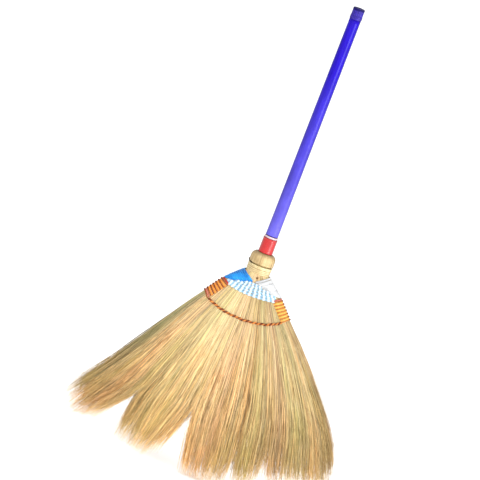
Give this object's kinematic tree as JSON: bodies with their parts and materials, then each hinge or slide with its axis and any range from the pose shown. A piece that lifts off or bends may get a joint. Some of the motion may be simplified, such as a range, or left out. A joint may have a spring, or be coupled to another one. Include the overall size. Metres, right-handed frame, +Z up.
{
  "type": "grass sweeping broom",
  "caption": "Household broom: plastic-sleeved round handle, rattan-bound neck and a wide flat fan of natural straw held by coloured twine.",
  "frame": {"origin": "on the handle's axis, at the height of the lowest straw tips", "axes": "+Z up along the handle from the straw to the end cap, +X across the fan to the side of the white twine, front face towards -Y"},
  "size_m": [0.5504, 0.0508, 1],
  "materials": {
    "pole_wood": "plain turned wood",
    "blue_sleeve": "glossy shrunk plastic film, strong blue",
    "cap_plastic": "moulded plastic, dull dark blue",
    "white_plastic": "moulded white plastic",
    "red_plastic": "glossy shrunk plastic film, bright red",
    "rattan": "pale split rattan with a slight sheen",
    "dark_steel": "dull darkened wire and nails",
    "straw": "dry grass stalks, matt, tan to brown",
    "blue_twine": "flat plastic twine, azure",
    "white_twine": "flat plastic twine, white",
    "orange_twine": "flat plastic twine, orange",
    "red_twine": "flat plastic twine, dark red",
    "brown_twine": "flat plastic twine, dark brown"
  },
  "bodies": {
    "root": {"handle_core": "pole_wood", "handle_sleeve": "blue_sleeve", "handle_end_cap": "cap_plastic", "white_ring": "white_plastic", "red_ferrule": "red_plastic", "neck_collar": "rattan", "neck_winding": "rattan", "neck_wire": "dark_steel", "neck_nail_front": "dark_steel", "neck_nail_back": "dark_steel", "blue_twine_wrap": "blue_twine", "white_twine_wrap": "white_twine", "stitch_cord_orange": "orange_twine", "stitch_cord_brown": "brown_twine", "straw_bundle_01": "straw", "straw_bundle_02": "straw", "straw_bundle_03": "straw", "straw_bundle_04": "straw", "straw_bundle_05": "straw", "straw_bundle_06": "straw", "straw_bundle_07": "straw", "straw_bundle_08": "straw", "straw_bundle_09": "straw", "straw_bundle_10": "straw", "straw_bundle_11": "straw", "straw_bundle_12": "straw", "straw_bundle_13": "straw", "straw_bundle_14": "straw", "straw_bundle_15": "straw", "straw_bundle_16": "straw", "weave_row_1": "white_twine", "weave_row_2": "white_twine", "weave_row_3": "white_twine", "weave_row_4": "white_twine", "weave_row_5": "white_twine", "left_edge_red_loop": "red_twine", "left_edge_orange_binding": "orange_twine", "left_edge_last_loop": "red_twine", "right_edge_red_loop": "red_twine", "right_edge_orange_binding": "orange_twine", "right_edge_last_loop": "red_twine"}
  },
  "joints": []
}
